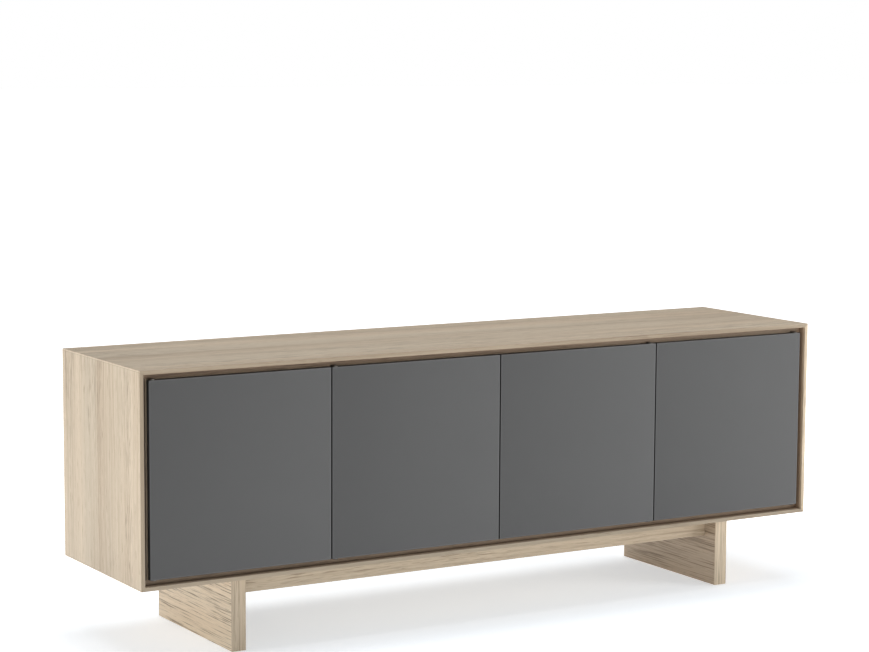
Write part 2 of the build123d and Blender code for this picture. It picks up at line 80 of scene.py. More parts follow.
# ------------------------------------------------------------------ node tools
class Tree:
    def __init__(self, name):
        self.mat = bpy.data.materials.new(name)
        self.mat.use_nodes = True
        self.t = self.mat.node_tree
        self.t.nodes.clear()
        self.out = self.t.nodes.new("ShaderNodeOutputMaterial")
        self.bsdf = self.t.nodes.new("ShaderNodeBsdfPrincipled")
        self.t.links.new(self.bsdf.outputs[0], self.out.inputs[0])

    def put(self, socket, value):
        if hasattr(value, "is_linked") or hasattr(value, "links"):
            self.t.links.new(value, socket)
        else:
            socket.default_value = value

    def math(self, op, a, b=None, c=None, clamp=False):
        n = self.t.nodes.new("ShaderNodeMath")
        n.operation, n.use_clamp = op, clamp
        for i, v in enumerate((a, b, c)):
            if v is not None:
                self.put(n.inputs[i], v)
        return n.outputs[0]

    def coords(self, kind="Object"):
        return self.t.nodes.new("ShaderNodeTexCoord").outputs[kind]

    def split(self, v):
        n = self.t.nodes.new("ShaderNodeSeparateXYZ")
        self.put(n.inputs[0], v)
        return n.outputs[0], n.outputs[1], n.outputs[2]

    def join(self, x, y, z):
        n = self.t.nodes.new("ShaderNodeCombineXYZ")
        for i, v in enumerate((x, y, z)):
            self.put(n.inputs[i], v)
        return n.outputs[0]

    def noise(self, v, scale=1.0, detail=2.0, rough=0.5, distort=0.0):
        n = self.t.nodes.new("ShaderNodeTexNoise")
        self.put(n.inputs["Vector"], v)
        n.inputs["Scale"].default_value = scale
        n.inputs["Detail"].default_value = detail
        n.inputs["Roughness"].default_value = rough
        n.inputs["Distortion"].default_value = distort
        return n.outputs[0]

    def ramp(self, v, lo, hi, a=0.0, b=1.0, smooth=True):
        n = self.t.nodes.new("ShaderNodeMapRange")
        n.interpolation_type = "SMOOTHSTEP" if smooth else "LINEAR"
        self.put(n.inputs[0], v)
        for i, x in enumerate((lo, hi, a, b)):
            n.inputs[1 + i].default_value = x
        return n.outputs[0]

    def colour(self, v, stops):
        n = self.t.nodes.new("ShaderNodeValToRGB")
        e = n.color_ramp.elements
        while len(e) < len(stops):
            e.new(0.5)
        for el, (p, c) in zip(e, stops):
            el.position, el.color = p, (*c, 1)
        self.put(n.inputs[0], v)
        return n.outputs[0]

    def mix(self, f, a, b, mode="MIX"):
        n = self.t.nodes.new("ShaderNodeMix")
        n.data_type, n.blend_type = "RGBA", mode
        self.put(n.inputs[0], f)
        for i, v in ((6, a), (7, b)):
            self.put(n.inputs[i], (*v, 1) if isinstance(v, tuple) and len(v) == 3 else v)
        return n.outputs[2]

    def bump(self, height, distance, strength=1.0, normal=None):
        n = self.t.nodes.new("ShaderNodeBump")
        n.inputs["Strength"].default_value = strength
        n.inputs["Distance"].default_value = distance
        self.put(n.inputs["Height"], height)
        if normal is not None:
            self.put(n.inputs["Normal"], normal)
        self.t.links.new(n.outputs[0], self.bsdf.inputs["Normal"])
        return n.outputs[0]

    def set(self, **kw):
        for k, v in kw.items():
            self.put(self.bsdf.inputs[k.replace("_", " ")], v)


# ------------------------------------------------------------------ materials
def oak(name, grain, across, seed=0.0, tone=1.0, flow=(1.0, 0.0), depth=(1.0, 0.0), joints=(), clusters=(), edging=None,
        warp=0.05, ripples=0.006, streaks=0.40, rings=0.20, bands=0.52, dashes=0.55, lines=0.0, pitch=165.0, hue=0.6, front=1.0, painted_inner_shade=None,
        light=(0.580, 0.473, 0.344), dark=(0.368, 0.280, 0.187), pore=(0.180, 0.128, 0.080), rough=0.5):
    """Bleached oak: grain is the axis the fibres run along, across the face's other axis. flow and depth carry one
    leaf of veneer over a corner; joints are the seams between leaves."""
    m = Tree(name)
    xyz = dict(zip("XYZ", m.split(m.coords())))
    third = ({"X", "Y", "Z"} - {grain, across}).pop()
    v0 = xyz[across]
    u = m.math("MULTIPLY_ADD", xyz[grain], flow[0], flow[1] + seed * 3.7)
    v = m.math("ADD", v0, seed * 1.3)
    w = m.math("MULTIPLY_ADD", xyz[third], depth[0], depth[1] + seed * 0.7)
    leaf, seam = None, None
    for j in joints:
        step = m.math("GREATER_THAN", v0, j)
        leaf = step if leaf is None else m.math("ADD", leaf, step)
        near = m.ramp(m.math("ABSOLUTE", m.math("SUBTRACT", v0, j)), 0.0002, 0.0011, 1.0, 0.0)
        seam = near if seam is None else m.math("MAXIMUM", seam, near)
    if joints:
        wn = m.t.nodes.new("ShaderNodeTexWhiteNoise")
        wn.noise_dimensions = "1D"
        m.put(wn.inputs["W"], m.math("ADD", leaf, 0.5 + seed))
        leaf = wn.outputs[0]
        u = m.math("ADD", u, m.math("MULTIPLY", leaf, 5.0))
        w = m.math("ADD", w, m.math("MULTIPLY", leaf, 2.0))

    def stretched(a, b, c, vs, detail=2.0, soft=0.5):
        return m.noise(m.join(m.math("MULTIPLY", u, a), m.math("MULTIPLY", vs, b), m.math("MULTIPLY", w, c)), 1.0, detail, soft)

    bend = stretched(1.1, 5.0, 5.0, v)
    ripple = stretched(6.0, 26.0, 26.0, v, 1.0)
    vv = m.math("ADD", v, m.math("ADD", m.math("MULTIPLY", m.math("SUBTRACT", bend, 0.5), warp),
                                 m.math("MULTIPLY", m.math("SUBTRACT", ripple, 0.5), ripples)))
    # growth rings: a slow field cut into bands that widen and narrow
    ring = m.math("FRACT", m.math("ADD", m.math("MULTIPLY", vv, 62.0), m.math("MULTIPLY", stretched(0.5, 11.0, 1.0, vv), 8.0)))
    late = m.math("MULTIPLY", m.ramp(ring, 0.50, 0.92), m.ramp(ring, 1.0, 0.94, smooth=False))
    early = m.math("SUBTRACT", 1.0, m.ramp(ring, 0.10, 0.55))
    streak = stretched(1.4, 105.0, 105.0, vv, 4.0, 0.6)
    broad = stretched(0.45, 10.5, 8.0, vv, 2.0)
    tint = stretched(0.35, 8.0, 6.0, m.math("ADD", vv, 4.3), 1.0)
    fibre = stretched(26.0, 1500.0, 1500.0, v)
    fine = stretched(30.0, 620.0, 620.0, vv, 1.0)
    dash = stretched(15.0, 330.0, 330.0, vv, 1.0, 0.6)
    where = m.ramp(stretched(1.6, 15.0, 9.0, m.math("ADD", vv, 7.1), 2.0), 0.50, 0.64)
    for centre, half in clusters:
        near = m.ramp(m.math("ABSOLUTE", m.math("SUBTRACT", v0, centre)), half * 0.5, half, 1.0, 0.0)
        where = m.math("MAXIMUM", where, near)
    fine_pore = m.math("MULTIPLY", m.ramp(fine, 0.575, 0.66), m.math("MULTIPLY_ADD", early, 0.7, 0.3))
    dash_pore = m.math("MULTIPLY", m.ramp(dash, 0.54, 0.63), where)
    mixv = m.math("ADD", m.math("MULTIPLY", m.ramp(streak, 0.34, 0.68), streaks),
                  m.math("ADD", m.math("MULTIPLY", late, rings), m.math("MULTIPLY", m.ramp(broad, 0.34, 0.66), bands)), clamp=True)
    base = m.colour(mixv, [(0.0, light), (0.5, tuple(0.60 * a + 0.40 * b for a, b in zip(light, dark))), (1.0, dark)])
    mid = tuple(0.75 * a + 0.25 * b for a, b in zip(light, dark))
    grey = (mid[0] * 0.955, mid[1] * 1.0, mid[2] * 1.035)
    warm = (mid[0] * 1.03, mid[1] * 0.985, mid[2] * 0.945)
    base = m.mix(m.math("MULTIPLY", m.ramp(tint, 0.50, 0.68), hue), base, grey)
    base = m.mix(m.math("MULTIPLY", m.ramp(tint, 0.50, 0.32), hue * 0.8), base, warm)
    # tone scales the whole piece; for the top, the legs, the leg lippings and the left and right reveal trims it also
    # carries painted light and shade
    shade = m.math("MULTIPLY_ADD", m.ramp(fibre, 0.3, 0.7), 0.07, 0.965 * tone)
    # painted light and shade: faces on the front plane are scaled by the front factor, darker below 1 and lighter above
    # 1, for how the light falls on them
    if front != 1.0:
        edge = m.math("LESS_THAN", xyz["Y"], YF * 1e-3 + 0.0004)
        shade = m.math("MULTIPLY", shade, m.math("MULTIPLY_ADD", edge, front - 1.0, 1.0))
    # painted shade: faces on the inner side of the given plane are darkened by the factor k
    if painted_inner_shade:
        side, plane, k = painted_inner_shade
        face = m.math("LESS_THAN", m.math("MULTIPLY", xyz["X"], side), plane)
        shade = m.math("MULTIPLY", shade, m.math("MULTIPLY_ADD", face, k - 1.0, 1.0))
    if joints:
        shade = m.math("ADD", shade, m.math("MULTIPLY", m.math("SUBTRACT", leaf, 0.5), 0.10))
    base = m.mix(1.0, base, m.join(shade, shade, shade), "MULTIPLY")
    base = m.mix(m.math("MULTIPLY", fine_pore, dashes * 0.9), base, pore)
    base = m.mix(m.math("MULTIPLY", dash_pore, dashes), base, pore)
    dips = m.math("ADD", m.math("MULTIPLY", fine_pore, 0.6), m.math("MULTIPLY", dash_pore, 0.8))
    if lines:
        # long open pores standing in rows, as on a rift-cut face
        row = stretched(4.2, pitch, pitch, vv, 2.0, 0.55)
        split = stretched(13.0, pitch * 1.7, pitch * 1.7, vv, 1.0)
        groove = m.math("MULTIPLY", m.ramp(row, 0.50, 0.64), m.ramp(split, 0.36, 0.52))
        base = m.mix(m.math("MULTIPLY", groove, lines), base, pore)
        crest = m.math("MULTIPLY", m.ramp(row, 0.46, 0.34), 0.22)
        base = m.mix(crest, base, tuple(min(1.0, c * 1.10) for c in light))
        dips = m.math("ADD", dips, m.math("MULTIPLY", groove, 0.7))
    if seam is not None:
        base = m.mix(m.math("MULTIPLY", seam, 0.45), base, pore)
    if edging:
        axis, lo, hi = edging
        out = m.math("MAXIMUM", m.math("SUBTRACT", lo, xyz[axis]), m.math("SUBTRACT", xyz[axis], hi))
        base = m.mix(m.math("MULTIPLY", m.math("GREATER_THAN", out, 0.0), 0.55), base, light)
        base = m.mix(m.math("MULTIPLY", m.ramp(m.math("ABSOLUTE", out), 0.0002, 0.0012, 1.0, 0.0), 0.40), base, pore)
    m.set(Base_Color=base, Roughness=m.math("ADD", m.math("MULTIPLY", m.math("ADD", fine_pore, m.math("MULTIPLY", streak, 0.3)), 0.22), rough - 0.05))
    m.bsdf.inputs["IOR"].default_value = 1.42
    h = m.math("SUBTRACT", m.math("MULTIPLY", fibre, 0.18), m.math("ADD", dips, m.math("MULTIPLY", late, 0.12)))
    m.bump(h, 0.00016, 0.75)
    return m.mat


def plain(name, colour, rough, metal=0.0, vary=0.06, grain=900.0, depth=0.00003, scratch=0.0, stretch=(1, 1, 1), ior=1.45, worn=0.0):
    """Painted, moulded or plated surface: broad tone variation, a fine texture, optional brushed lines."""
    m = Tree(name)
    p = m.coords()
    broad = m.noise(p, 14.0, 3.0)
    x, y, z = m.split(p)
    fine = m.noise(m.join(m.math("MULTIPLY", x, stretch[0]), m.math("MULTIPLY", y, stretch[1]), m.math("MULTIPLY", z, stretch[2])), grain, 2.0)
    k = m.math("ADD", m.math("MULTIPLY", m.math("SUBTRACT", broad, 0.5), vary * 2),
               m.math("MULTIPLY_ADD", m.math("SUBTRACT", fine, 0.5), vary, 1.0))
    col = m.mix(1.0, colour, m.join(k, k, k), "MULTIPLY")
    if worn:
        g = m.t.nodes.new("ShaderNodeNewGeometry").outputs["Pointiness"]
        col = m.mix(m.math("MULTIPLY", m.ramp(g, 0.52, 0.60), worn), col, tuple(min(1.0, c * 1.9 + 0.05) for c in colour))
    m.set(Base_Color=col, Metallic=metal,
          Roughness=m.math("ADD", m.math("MULTIPLY", m.math("ADD", fine, broad), 0.12), rough - 0.12, clamp=True))
    m.bsdf.inputs["IOR"].default_value = ior
    m.bump(fine, depth, 0.6)
    return m.mat


def perforated(name, colour=(0.107, 0.107, 0.107), hole_and_rim_shade=(0.012, 0.012, 0.012), pitch=2.0, radius=0.55, margin=2.5):
    """Powder-coated sheet with a staggered field of small round holes inside a plain margin. UV is in metres."""
    m = Tree(name)
    u, v, _ = m.split(m.coords("UV"))
    px, py = pitch * 1e-3, pitch * 1e-3 * math.sqrt(3)

    def lattice(ox, oy):
        a = m.math("SUBTRACT", m.math("FRACT", m.math("ADD", m.math("DIVIDE", u, px), ox)), 0.5)
        b = m.math("SUBTRACT", m.math("FRACT", m.math("ADD", m.math("DIVIDE", v, py), oy)), 0.5)
        a, b = m.math("MULTIPLY", a, px), m.math("MULTIPLY", b, py)
        return m.math("SQRT", m.math("ADD", m.math("MULTIPLY", a, a), m.math("MULTIPLY", b, b)))

    d = m.math("MINIMUM", lattice(0.0, 0.0), lattice(0.5, 0.5))
    w, h = DOOR_W * 1e-3, (DOOR_ZT - DOOR_ZB) * 1e-3
    edge = m.math("MINIMUM", m.math("MINIMUM", u, m.math("SUBTRACT", w, u)), m.math("MINIMUM", v, m.math("SUBTRACT", h, v)))
    field = m.math("GREATER_THAN", edge, margin * 1e-3)
    r = radius * 1e-3
    cut = m.math("MULTIPLY", m.ramp(d, r * 1.06, r * 0.94), field)
    lip = m.math("MULTIPLY", m.ramp(d, r * 1.45, r), field)
    p = m.coords()
    orange = m.noise(p, 1300.0, 2.0)
    broad = m.noise(p, 3.0, 2.0)
    k = m.math("ADD", m.math("MULTIPLY", m.math("SUBTRACT", broad, 0.5), 0.10), m.math("MULTIPLY_ADD", m.math("SUBTRACT", orange, 0.5), 0.10, 1.0))
    # painted shade and light: each sheet is darker towards its left edge and its top, and lighter towards its right
    # edge and its bottom
    k = m.math("MULTIPLY", k, m.math("MULTIPLY", m.ramp(u, 0.0, w, 0.76, 1.06, smooth=False), m.ramp(v, 0.0, h, 1.05, 0.96, smooth=False)))
    col = m.mix(1.0, colour, m.join(k, k, k), "MULTIPLY")
    # the holes, and a rim within about a millimetre of each sheet's edge, take the near-black hole colour; the rim is
    # painted shade that darkens the gaps between the doors and the edges' rounding
    col = m.mix(m.math("MAXIMUM", cut, m.ramp(edge, 0.0010, 0.0005)), col, hole_and_rim_shade)
    m.set(Base_Color=col, Roughness=m.math("MULTIPLY_ADD", cut, 0.4, m.math("MULTIPLY_ADD", orange, 0.1, 0.43)))
    m.bsdf.inputs["IOR"].default_value = 1.45
    m.bump(m.math("SUBTRACT", m.math("MULTIPLY", orange, 0.10), lip), 0.00012, 0.35)
    return m.mat


VENEER = dict(seed=2.0, joints=(-0.055,), clusters=((-0.168, 0.030),))
# painted light and shade: the front faces of the top, the left side and the bottom are darkened (front=0.66), the right
# side's front faces are lightened (front=1.16), and the whole top is lightened (tone=1.07)
OAK_TOP = oak("oak_top", "X", "Y", flow=(1.0, XO * 1e-3), depth=(-1.0, ZT * 1e-3), tone=1.07, front=0.66, **VENEER)
OAK_LEFT = oak("oak_left_side", "Z", "Y", flow=(1.0, -ZT * 1e-3), depth=(1.0, XO * 1e-3),
               edging=("Z", ZB * 1e-3 + 0.0038, ZT * 1e-3 - 0.0042), front=0.66, **VENEER)
OAK_RIGHT = oak("oak_right_side", "Z", "Y", flow=(-1.0, (2 * XO + ZT) * 1e-3), depth=(-1.0, XO * 1e-3),
                edging=("Z", ZB * 1e-3 + 0.0038, ZT * 1e-3 - 0.0042), front=1.16, **VENEER)
OAK_BOTTOM = oak("oak_bottom", "X", "Y", seed=4.0, joints=(-0.09, 0.12), front=0.66)
LEG_GRAIN = dict(warp=0.010, ripples=0.0028, streaks=0.24, rings=0.10, bands=0.30, dashes=0.35)
# painted light and shade: the left leg's outer face is lightened (tone=1.40) and its lipping darkened (tone=0.92), the
# right leg and its lipping are lightened (tone=1.25 and 1.19), both legs' inner faces are darkened (factors 0.60 and
# 0.664), and the right leg's warmer colours offset the bluish light falling on its inner face
OAK_LEG = {"left_leg": oak("oak_left_leg", "Y", "Z", seed=3.0, tone=1.40, lines=0.80, pitch=275.0,
                           painted_inner_shade=(-1.0, LEG_XI * 1e-3 + 0.0004, 0.60), **LEG_GRAIN),
           "right_leg": oak("oak_right_leg", "Y", "Z", seed=15.0, tone=1.25, lines=0.85, pitch=275.0, painted_inner_shade=(1.0, LEG_XI * 1e-3 + 0.0004, 0.664),
                            light=(0.585, 0.452, 0.325), dark=(0.372, 0.268, 0.177), **LEG_GRAIN)}
OAK_LIP = {"left_leg": oak("oak_left_lipping", "Z", "X", seed=9.0, tone=0.92, lines=0.45, pitch=260.0, **LEG_GRAIN),
           "right_leg": oak("oak_right_lipping", "Z", "X", seed=19.0, tone=1.19, lines=0.45, pitch=260.0, **LEG_GRAIN)}
OAK_RAIL = oak("oak_rail", "X", "Z", seed=5.0, tone=0.97, warp=0.03, lines=0.25, pitch=170.0)
OAK_SHELF = oak("oak_shelf", "X", "Y", seed=7.0, joints=(-0.10, 0.06), tone=0.97)
OAK_PART = oak("oak_partition", "Z", "Y", seed=8.0, joints=(-0.07, 0.11), tone=0.97)
STAIN = dict(light=(0.345, 0.250, 0.172), dark=(0.250, 0.172, 0.112), pore=(0.120, 0.080, 0.052), rough=0.6)
BROWN = {"reveal_trim_top": oak("brown_reveal_top", "X", "Z", seed=11.0, **STAIN),
         "reveal_trim_bottom": oak("brown_reveal_bottom", "X", "Z", seed=12.0, **STAIN),
         # painted shade and light: the left trim is darkened (tone=0.34) and the right trim lightened (tone=1.25); top
         # and bottom keep the plain stain
         "reveal_trim_left": oak("brown_reveal_left_painted_shade", "Z", "X", seed=16.0, tone=0.34, **STAIN),
         "reveal_trim_right": oak("brown_reveal_right_painted_light", "Z", "Y", seed=17.0, tone=1.25, **STAIN)}
# painted shade: near-black for the partitions' front faces, so that the door gaps in front of them read dark
EDGE_PAINTED_SHADE = plain("partition_edge_painted_shade", (0.018, 0.017, 0.016), 0.55, vary=0.12, grain=1200.0)
PERF = perforated("perforated_steel")
FRAME = plain("door_frame_black", (0.028, 0.028, 0.029), 0.42, vary=0.10, grain=1100.0)
BACK = oak("dark_back_board", "X", "Z", seed=13.0, light=(0.060, 0.055, 0.050), dark=(0.040, 0.036, 0.032), pore=(0.018, 0.016, 0.014), rough=0.55)
BEECH = oak("beech_dowel", "X", "Y", seed=14.0, light=(0.62, 0.42, 0.25), dark=(0.50, 0.32, 0.18), pore=(0.35, 0.2, 0.1))
BLACK_PLASTIC = plain("black_plastic", (0.022, 0.022, 0.023), 0.5, vary=0.08, grain=1500.0, depth=0.00005)
LATCH = plain("latch_grey_plastic", (0.17, 0.165, 0.16), 0.48, vary=0.05, grain=1500.0, depth=0.00004)
NYLON = plain("nylon_washer", (0.68, 0.67, 0.62), 0.4, vary=0.03)
FOOT = plain("foot_plastic", (0.03, 0.03, 0.031), 0.55, vary=0.08, grain=1300.0, depth=0.00005)
NICKEL = plain("nickel_plate", (0.62, 0.60, 0.56), 0.28, metal=1.0, vary=0.05, grain=700.0)
BRASS = plain("turned_brass", (0.66, 0.47, 0.20), 0.32, metal=1.0, vary=0.06, grain=600.0, stretch=(1, 1, 6))
STEEL = plain("bright_zinc", (0.56, 0.57, 0.58), 0.34, metal=1.0, vary=0.10, grain=800.0, stretch=(1, 1, 0.05))
BRONZE = plain("dark_bronze_plate", (0.060, 0.048, 0.038), 0.42, metal=0.7, vary=0.12, grain=900.0, worn=0.3)
ZINC = plain("zinc_screw", (0.48, 0.48, 0.47), 0.36, metal=1.0, vary=0.14, grain=1200.0)
ZINC_DARK = plain("black_oxide_screw", (0.045, 0.043, 0.042), 0.40, metal=0.8, vary=0.14, grain=1200.0, worn=0.35)


# ------------------------------------------------------------------ mesh tools
def obj_from(name, bm, mats):
    bmesh.ops.recalc_face_normals(bm, faces=bm.faces)
    me = bpy.data.meshes.new(name)
    bm.to_mesh(me)
    bm.free()
    for m in mats:
        me.materials.append(m)
    o = bpy.data.objects.new(name, me)
    scene.collection.objects.link(o)
    return o


def settle(o):
    """Applies the modifiers."""
    bpy.context.view_layer.update()
    me = bpy.data.meshes.new_from_object(o.evaluated_get(bpy.context.evaluated_depsgraph_get()))
    o.modifiers.clear()
    old, o.data = o.data, me
    bpy.data.meshes.remove(old)
    return o


def soften(o, width, segments=3):
    b = o.modifiers.new("bevel", "BEVEL")
    b.width, b.segments, b.limit_method, b.angle_limit = width * 1e-3, segments, "ANGLE", math.radians(30)
    b.use_clamp_overlap, b.miter_outer = True, "MITER_ARC"
    return settle(o)


def cut(o, bm):
    """Boolean-cuts a mesh out of o."""
    c = obj_from("cutter", bm, [])
    b = o.modifiers.new("cut", "BOOLEAN")
    b.operation, b.object, b.solver = "DIFFERENCE", c, "EXACT"
    settle(o)
    bpy.data.objects.remove(c)
    return o


def dress(o, body, replaces=(), angle=35):
    o.data.shade_smooth()
    o.data.set_sharp_from_angle(angle=math.radians(angle))
    w = o.modifiers.new("weighted", "WEIGHTED_NORMAL")
    w.keep_sharp, w.weight = True, 100
    settle(o)
    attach(o, body)
    if replaces:
        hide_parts(*replaces)
    return o


def add_prism(bm, low, high):
    """Joins two loops of equal length (mm) into a closed prism."""
    a = [bm.verts.new(Vector(p) * 1e-3) for p in low]
    b = [bm.verts.new(Vector(p) * 1e-3) for p in high]
    n = len(a)
    bm.faces.new(a)
    bm.faces.new(b[::-1])
    for i in range(n):
        bm.faces.new((a[i], b[i], b[(i + 1) % n], a[(i + 1) % n]))


def add_box(bm, x0, x1, y0, y1, z0, z1):
    add_prism(bm, [(x0, y0, z0), (x1, y0, z0), (x1, y1, z0), (x0, y1, z0)],
              [(x0, y0, z1), (x1, y0, z1), (x1, y1, z1), (x0, y1, z1)])


def add_tube(bm, start, end, r, n=24):
    """Closed cylinder from start to end, mm."""
    s, e = Vector(start), Vector(end)
    q = (e - s).to_track_quat("Z", "Y")
    ring = [q @ Vector((r * math.cos(2 * math.pi * i / n), r * math.sin(2 * math.pi * i / n), 0)) for i in range(n)]
    add_prism(bm, [s + p for p in ring], [e + p for p in ring])


def block(name, box, mat, bevel, body="cabinet", replaces=(), cutters=None, segments=3):
    bm = bmesh.new()
    add_box(bm, *box)
    o = soften(obj_from(name, bm, [mat]), bevel, segments)
    if cutters:
        c = bmesh.new()
        cutters(c)
        cut(o, c)
    return dress(o, body, replaces)


# ------------------------------------------------------------------ case
PROFILE = [(0, 0), (DEPTH, 0), (DEPTH, REAR_T), (BACK_Y, REAR_T), (BACK_Y, CASE_T), (RABBET, CASE_T), (RABBET, LIP_T), (0, LIP_T)]


def case_panel(side, mat):
    if side in ("top", "bottom"):
        z = (lambda d: ZT - d) if side == "top" else (lambda d: ZB + d)
        ends = [[(s * (XO - d), yy(y), z(d)) for y, d in PROFILE] for s in (-1, 1)]
    else:
        x = (lambda d: -XO + d) if side == "left" else (lambda d: XO - d)
        ends = [[(x(d), yy(y), ZB + d if k else ZT - d) for y, d in PROFILE] for k in (0, 1)]
    bm = bmesh.new()
    add_prism(bm, *ends)
    name = f"{side}_panel" if side in ("top", "bottom") else f"{side}_side_panel"
    o = soften(obj_from("veneered_" + name, bm, [mat]), 0.55, 3)
    c = bmesh.new()
    if side in ("top", "bottom"):
        z0, z1 = (ZT - PLATE_D, ZT - PLATE_D + PLATE_T) if side == "top" else (ZB + PLATE_D - PLATE_T, ZB + PLATE_D)
        for i in range(4):
            px, py = pivot_xy(i)
            add_box(c, px - PLATE_W / 2 - 0.1, px + PLATE_W / 2 + 0.1, yy(RABBET - 1), yy(PLATE_L + 0.1), z0 - 0.05, z1 + 0.05)
    else:
        s = -1 if side == "left" else 1
        for v, z in side_pins:
            add_tube(c, (s * (XO - CASE_T + PIN_IN + 0.5), yy(v), z), (s * (XO - CASE_T - 1), yy(v), z), PIN_R + 0.05, 16)
    cut(o, c)
    return dress(o, "cabinet", [name])


for side, mat in (("top", OAK_TOP), ("bottom", OAK_BOTTOM), ("left", OAK_LEFT), ("right", OAK_RIGHT)):
    case_panel(side, mat)

# ------------------------------------------------------------------ partitions and shelves
for name, x in (("left_partition", SEAM[0]), ("right_partition", SEAM[1])):
    def holes(c, x=x):
        for s in (-1, 1):
            for v, z in side_pins:
                add_tube(c, (x + s * (PART_T / 2 - PIN_IN - 0.5), yy(v), z), (x + s * (PART_T / 2 + 1), yy(v), z), PIN_R + 0.05, 16)
        add_tube(c, (x - PART_T, yy(409.0), ZB + CASE_T + 60), (x + PART_T, yy(409.0), ZB + CASE_T + 60), 30.0, 64)
    o = block("veneered_" + name, (x - PART_T / 2, x + PART_T / 2, yy(PART_F), yy(BACK_Y), ZB + CASE_T, ZT - CASE_T),
              OAK_PART, 0.4, replaces=[name], cutters=holes)
    # painted shade: the partitions' front faces take the near-black colour
    o.data.materials.append(EDGE_PAINTED_SHADE)
    for p in o.data.polygons:
        if p.center.y < yy(PART_F + 0.3) * 1e-3:
            p.material_index = 1

bays = {"left": (-XO + CASE_T, SEAM[0] - PART_T / 2), "centre": (SEAM[0] + PART_T / 2, SEAM[1] - PART_T / 2),
        "right": (SEAM[1] + PART_T / 2, XO - CASE_T)}
for name, (x0, x1) in bays.items():
    block(f"veneered_{name}_shelf", (x0 + 1.5, x1 - 1.5, yy(SHELF_F), yy(SHELF_B), SHELF_Z, SHELF_Z + SHELF_T),
          OAK_SHELF, 0.9, replaces=[f"{name}_shelf"])

# ------------------------------------------------------------------ doors
def with_uv(o, x0, z0):
    me = o.data
    uv = me.uv_layers.new(name="UVMap")
    for loop in me.loops:
        p = me.vertices[loop.vertex_index].co
        uv.data[loop.index].uv = (p.x - x0 * 1e-3, p.z - z0 * 1e-3)


for i in range(4):
    left, right = door_x(i)
    edge, s = hinge(i)
    n, body = i + 1, f"door_{i + 1}"
    bm = bmesh.new()
    add_box(bm, left, right, yy(DOOR_F), yy(DOOR_F + SKIN_T), DOOR_ZB, DOOR_ZT)
    o = soften(obj_from(f"door_{n}_sheet", bm, [PERF]), 0.6, 3)
    with_uv(o, left, DOOR_ZB)
    dress(o, body, [f"door_{n}_perforated_panel"])
    # frame: hinge stile with its back corner off, plain stile, two rails between them
    y0, y1 = yy(DOOR_F + SKIN_T), yy(DOOR_B)
    free = right if s == 1 else left
    node, px, py = f"door_{n}_frame", *pivot_xy(i)
    prof = [(edge, y0), (edge + s * STILE, y0), (edge + s * STILE, y1), (edge + s * 6, y1), (edge, y1 - 6)]
    bm = bmesh.new()
    add_prism(bm, [(x, y, DOOR_ZB) for x, y in prof], [(x, y, DOOR_ZT) for x, y in prof])
    o = soften(obj_from(f"door_{n}_hinge_stile", bm, [FRAME]), 0.5, 2)
    c = bmesh.new()
    add_tube(c, (px, py, DOOR_ZT - 22), (px, py, DOOR_ZT + 1), 3.0, 32)
    add_tube(c, (px, py, DOOR_ZB + 22), (px, py, DOOR_ZB - 1), 3.0, 32)
    cut(o, c)
    dress(o, body, [node])
    x0, x1 = sorted((free, free - s * STILE))
    block(f"door_{n}_latch_stile", (x0, x1, y0, y1, DOOR_ZB, DOOR_ZT), FRAME, 0.5, body, [node], segments=2)
    for k, (z0, z1) in {"top": (DOOR_ZT - STILE, DOOR_ZT), "bottom": (DOOR_ZB, DOOR_ZB + STILE)}.items():
        block(f"door_{n}_{k}_rail", (left + STILE, right - STILE, y0, y1, z0, z1), FRAME, 0.5, body, [node], segments=2)

# ------------------------------------------------------------------ base
for name, s in (("left_leg", -1), ("right_leg", 1)):
    xm = s * (LEG_XO - LEG_T / 2)
    x0, x1 = xm - LEG_T / 2, xm + LEG_T / 2

    def sockets(c, xm=xm):
        for v in FOOT_Y:
            add_tube(c, (xm, yy(v), LEG_LIFT - 1), (xm, yy(v), LEG_LIFT + 6.5), 15.0, 48)
            add_tube(c, (xm, yy(v), LEG_LIFT + 5), (xm, yy(v), LEG_LIFT + 48), 6.5, 32)
    block(f"veneered_{name}_core", (x0, x1, yy(LEG_F + LIPPING), yy(LEG_B - LIPPING), LEG_LIFT, ZB), OAK_LEG[name], 0.35,
          replaces=[name], cutters=sockets)
    for end, (a, b) in {"front": (LEG_F, LEG_F + LIPPING), "rear": (LEG_B - LIPPING, LEG_B)}.items():
        block(f"{name}_{end}_lipping", (x0, x1, yy(a), yy(b), LEG_LIFT, ZB), OAK_LIP[name], 0.35)

base_screw_x = (-600.0, 0.0, 600.0)
for k, v0 in (("front", RAIL_F), ("rear", LEG_F + LEG_B - RAIL_F - RAIL_T)):
    def bores(c, v0=v0):
        for x in base_screw_x:
            add_tube(c, (x, yy(v0 + RAIL_T / 2), ZB - RAIL_H - 1), (x, yy(v0 + RAIL_T / 2), ZB - RAIL_H + 25), 6.0, 32)
    block(f"solid_{k}_rail", (-LEG_XI, LEG_XI, yy(v0), yy(v0 + RAIL_T), ZB - RAIL_H, ZB), OAK_RAIL, 0.7,
          replaces=[f"{k}_rail"], cutters=bores)

